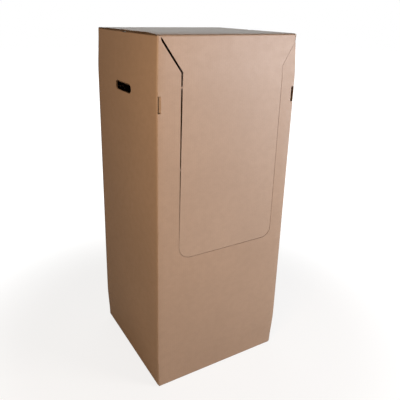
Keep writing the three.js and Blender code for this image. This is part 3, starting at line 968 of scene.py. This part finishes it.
class CARTON_OT_door(bpy.types.Operator):
    """Builds the tear-out front door"""

    bl_idname = "carton.door"
    bl_label = "Front door"

    def execute(self, context):
        patch = Patch((PANEL_STARTS[1], 0.0))  # the pattern carries on from the front panel
        outline = door_outline(WIDE_GAP, NARROW_GAP, PANEL_TOP)
        columns = spaced(FOLD_RADIUS, WIDTH - FOLD_RADIUS, CELL)[1:-1]
        rows = spaced(DOOR_BOTTOM, PANEL_TOP, CELL)[1:-1]

        def place(x, z, n):
            right = smooth(x, WIDTH / 2, WIDTH - DOOR_RIGHT_MARGIN)
            recess = DOOR_RECESS * right * smooth(PANEL_TOP - z, 0.0, DOOR_RECESS_RUN)
            crushed = DOOR_CRUSH * (1 - smooth(self.from_left_cut(x, z), 0.0, DOOR_CRUSH_RUN))
            return front_point(x, z, n * (1 - crushed) + recess)

        start = DOOR_LEFT_MARGIN + NARROW_GAP
        end = start + DOOR_CRUSH_RUN
        columns = sorted(columns + spaced(start, end, CRUSH_CELL))
        # the door's cut edges take the dark fluting finish too, painted shade that makes the gap beside the
        # door read black
        board(patch, [outline], place, columns, rows, [(start, end)], (), upright_stations(), FLUTING)
        settle(make_object("door", patch, finishes("door_liner_painted_sheen")), "door", ["front_door"])
        return {"FINISHED"}

    def from_left_cut(self, x, z):
        """How far a point of the door lies from its slanted and upright cut at the left."""
        slant = (z - left_slant(x, WIDE_GAP)) / hypot(1, LEFT_SLOPE)
        return max(slant, x - DOOR_LEFT_MARGIN - left_gap(z))


class CARTON_OT_top_flaps(bpy.types.Operator):
    """Builds the two top flaps with their creases, each a little bowed as it lies on the flaps under it"""

    bl_idname = "carton.top_flaps"
    bl_label = "Top flaps"

    def execute(self, context):
        shape = context.scene.carton_shape
        self.flap("front", 1, FRONT_FLAP_BEVEL, shape.front_lift, shape.front_seam_lift)
        self.flap("rear", -1, REAR_FLAP_BEVEL, shape.rear_lift, shape.rear_seam_lift)
        return {"FINISHED"}

    def flap(self, end, facing, bevel, lift, seam_lift):
        """A top flap whose crease runs along the front (facing 1) or the rear (facing -1)."""
        half = WIDTH / 2 - FLAP_SIDE_CLEARANCE
        keys = [key[0] for key in CREASE_KEYS]
        ledge = keys[3]
        lip_left = LIP_LEFT if facing > 0 else LIP_RIGHT
        outline = [(-lip_left, keys[0]), (LIP_RIGHT, keys[0]), (LIP_RIGHT, ledge), (half, ledge)]
        outline += [(half, FLAP_LENGTH - bevel), (half - bevel, FLAP_LENGTH)]
        outline += [(bevel - half, FLAP_LENGTH), (-half, FLAP_LENGTH - bevel)]
        outline += [(-half, ledge), (-lip_left, ledge)]
        rows = keys[1:] + spaced(keys[-1], FLAP_LENGTH, CELL)[1:-1]
        columns = spaced(-half, half, CELL)[1:-1]

        def place(x, v, n):
            outer, inner = crease_section(v)
            y, z = outer.lerp(inner, n / BOARD)
            behind = clamp(v / FLAP_LENGTH)
            share = smooth(v, *LIFT_RUN) * (1 - smooth(x, -half, half))
            raised = share * (lift + (seam_lift - lift) * behind)
            return Vector((x, facing * (FRONT + y), FLAP_LOW.z + z + raised))

        patch = Patch((FLAP_GRAIN[0], FLAP_GRAIN[1] * facing))
        breaks = [(keys[0] - NEAR, FLUTE_START)]
        board(patch, [outline], place, columns, rows, (), breaks, spaced(0.0, FLAP_LENGTH, FLUTE_STEP))
        piece = make_object(end + "_flap_board", patch, finishes())
        settle(piece, end + "_flap", [end + "_top_flap"])


def crease_section(v):
    """The outer and inner face of a top flap at v, from the front panel's face and the flaps' underside."""
    for (v0, outer0, inner0), (v1, outer1, inner1) in zip(CREASE_KEYS, CREASE_KEYS[1:]):
        if v <= v1:
            share = (v - v0) / (v1 - v0)
            return tuple(
                Vector(a).lerp(Vector(b), share) for a, b in ((outer0, outer1), (inner0, inner1))
            )
    return Vector((v, BOARD)), Vector((v, 0.0))


class CARTON_OT_rail(bpy.types.Operator):
    """Builds the hanger rail, bent and flanged from one steel strip"""

    bl_idname = "carton.rail"
    bl_label = "Hanger rail"

    def execute(self, context):
        mesh = bpy.data.meshes.new("rail")
        mesh.materials.append(steel_material("galvanised_steel", context.scene.carton_look.steel_colour))
        made = bmesh.new()
        half = RAIL_WIDTH / 2
        upright = LEFT + BOARD + RAIL_CLEARANCE + RAIL_SHEET / 2
        ear = WALL_TOP - SEAT_DEPTH + RAIL_CLEARANCE + RAIL_SHEET / 2
        bar = HEIGHT - RAIL_DROP - RAIL_SHEET / 2
        line = [(LEFT + RAIL_EAR_INSET, ear), (upright, ear), (upright, bar)]
        line += [(-x, z) for x, z in reversed(line)]
        self.strip(made, line, half)
        end = upright + RAIL_FLANGE_INSET
        for side in (-1, 1):
            inner, outer = side * (half - RAIL_SHEET), side * half
            section = rectangle(inner, bar, outer, bar - RAIL_FLANGE)
            self.join(made, [[(x, y, z) for y, z in section] for x in (end, -end)])
        settle(finish_mesh(mesh, made), "carton", ["hanger_rail"])
        return {"FINISHED"}

    def strip(self, made, line, half):
        """The strip seen from the front: a bent line with the sheet's thickness, rounded at each bend."""
        points = [Vector(p) for p in line]
        path = [points[0]]
        for before, corner, after in zip(points, points[1:], points[2:]):
            back = (before - corner).normalized() * RAIL_BEND
            ahead = (after - corner).normalized() * RAIL_BEND
            for k in range(RAIL_BEND_STEPS + 1):
                angle = pi / 2 * k / RAIL_BEND_STEPS
                path.append(corner + back * (1 - sin(angle)) + ahead * (1 - cos(angle)))
        path.append(points[-1])
        rings = []
        for before, point, after in zip(path[:1] + path, path, path[1:] + path[-1:]):
            along = (after - before).normalized()
            across = Vector((-along.y, along.x)) * RAIL_SHEET / 2
            top, under = point + across, point - across
            section = ((top, -half), (top, half), (under, half), (under, -half))
            rings.append([(p.x, y, p.y) for p, y in section])
        self.join(made, rings)

    def join(self, made, rings):
        """A closed bar through rings of four corners."""
        rings = [[made.verts.new(point) for point in ring] for ring in rings]
        for first, second in zip(rings, rings[1:]):
            for a in range(4):
                b = (a + 1) % 4
                made.faces.new((first[a], first[b], second[b], second[a]))
        for ring in (rings[0], rings[-1]):
            made.faces.new(ring)


class CARTON_OT_stage(bpy.types.Operator):
    """Builds the floor, the light and the camera"""

    bl_idname = "carton.stage"
    bl_label = "Stage"

    def execute(self, context):
        self.floor()
        self.world()
        self.lamps()
        self.camera()
        context.scene.view_settings.view_transform = "Standard"
        return {"FINISHED"}

    def floor(self):
        mesh = bpy.data.meshes.new("floor")
        corners = rectangle(-FLOOR_REACH, -FLOOR_REACH, FLOOR_REACH, FLOOR_REACH)
        mesh.from_pydata([(x, y, 0) for x, y in corners], [], [(0, 1, 2, 3)])
        floor = new_object("floor", mesh)
        mesh.materials.append(floor_material("floor", bpy.context.scene.carton_look.floor_colour))

    def world(self):
        """A dim fill light, and white where the camera looks past the floor."""
        world = bpy.data.worlds.new("studio")
        bpy.context.scene.world = world
        world.use_nodes = True
        nodes = Nodes(world.node_tree)
        fill = world.node_tree.nodes["Background"]
        fill.inputs["Color"].default_value = (*FILL_COLOUR, 1)
        fill.inputs["Strength"].default_value = FILL_STRENGTH
        white = nodes.add("ShaderNodeBackground", Color=(1, 1, 1, 1), Strength=1.0)
        path = nodes.add("ShaderNodeLightPath")
        seen = nodes.math("MAXIMUM", path.outputs["Is Camera Ray"], path.outputs["Is Transmission Ray"])
        nodes.blend(seen, fill.outputs["Background"], white.outputs["Background"], "World Output")

    def lamps(self):
        for name, place, target, size, power, colour in LAMPS:
            data = bpy.data.lights.new(name, "AREA")
            data.shape = "RECTANGLE"
            data.size, data.size_y = size
            data.energy = power
            data.color = colour
            lamp = new_object(name, data)
            lamp.location = place
            lamp.rotation_euler = (Vector(target) - Vector(place)).to_track_quat("-Z", "Y").to_euler()

    def camera(self):
        data = bpy.data.cameras.new("camera")
        data.lens = CAMERA_LENS
        data.sensor_width = CAMERA_SENSOR
        data.shift_x, data.shift_y = CAMERA_SHIFT
        camera = new_object("camera", data)
        camera.location = CAMERA_PLACE
        camera.rotation_euler = Euler([radians(a) for a in CAMERA_TURN], "XYZ")
        bpy.context.scene.camera = camera


class CARTON_PT_sidebar(bpy.types.Panel):
    """Lists the carton's pieces and settings"""

    bl_idname = "CARTON_PT_sidebar"
    bl_label = "Wardrobe Carton"
    bl_space_type = "VIEW_3D"
    bl_region_type = "UI"
    bl_category = "Carton"

    def draw(self, context):
        layout = self.layout
        for group in (context.scene.carton_look, context.scene.carton_shape):
            for key in group.__annotations__:
                layout.prop(group, key)
        for name in STEPS:
            layout.operator("carton." + name)


STEPS = ("walls", "tabs", "door", "top_flaps", "rail", "stage")
CLASSES = (
    CartonLook,
    CartonShape,
    CARTON_OT_walls,
    CARTON_OT_tabs,
    CARTON_OT_door,
    CARTON_OT_top_flaps,
    CARTON_OT_rail,
    CARTON_OT_stage,
    CARTON_PT_sidebar,
)


def register():
    for cls in CLASSES:
        bpy.utils.register_class(cls)
    bpy.types.Scene.carton_look = bpy.props.PointerProperty(type=CartonLook)
    bpy.types.Scene.carton_shape = bpy.props.PointerProperty(type=CartonShape)


def unregister():
    del bpy.types.Scene.carton_shape
    del bpy.types.Scene.carton_look
    for cls in reversed(CLASSES):
        bpy.utils.unregister_class(cls)


def main():
    register()
    for name in STEPS:
        getattr(bpy.ops.carton, name)()


if __name__ == "__main__":
    main()
